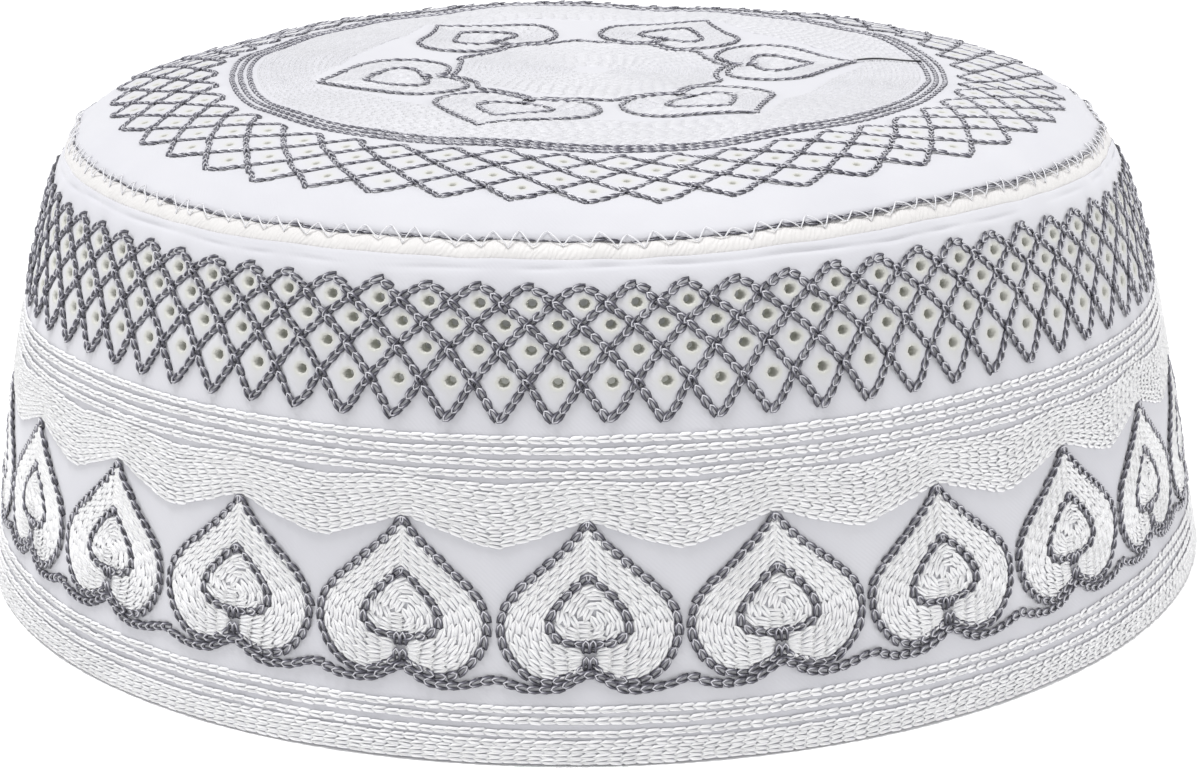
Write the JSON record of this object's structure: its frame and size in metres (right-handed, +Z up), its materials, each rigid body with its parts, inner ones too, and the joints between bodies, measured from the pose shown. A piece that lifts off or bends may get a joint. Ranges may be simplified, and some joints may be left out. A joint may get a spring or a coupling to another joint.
{
  "type": "kufi cap",
  "caption": "Round brimless cloth cap with a tapered side band, a low domed crown, chain-stitch hearts and lattices, and rows of small eyelets.",
  "frame": {"origin": "middle of the rim's flat face, on the surface that the cap rests on", "axes": "+Z up along the cap's axis of symmetry, -Y towards the front"},
  "size_m": [0.189, 0.189, 0.0718],
  "materials": {
    "white_cotton": "matt twill cotton with a faint cool cast",
    "overcast_thread": "soft cream overcast thread",
    "white_thread": "white embroidery thread with a silky sheen",
    "dark_thread": "blue-grey embroidery thread with a silky sheen"
  },
  "bodies": {
    "root": {"side_band": "white_cotton", "crown": "white_cotton", "crown_seam": "overcast_thread"}
  },
  "joints": []
}
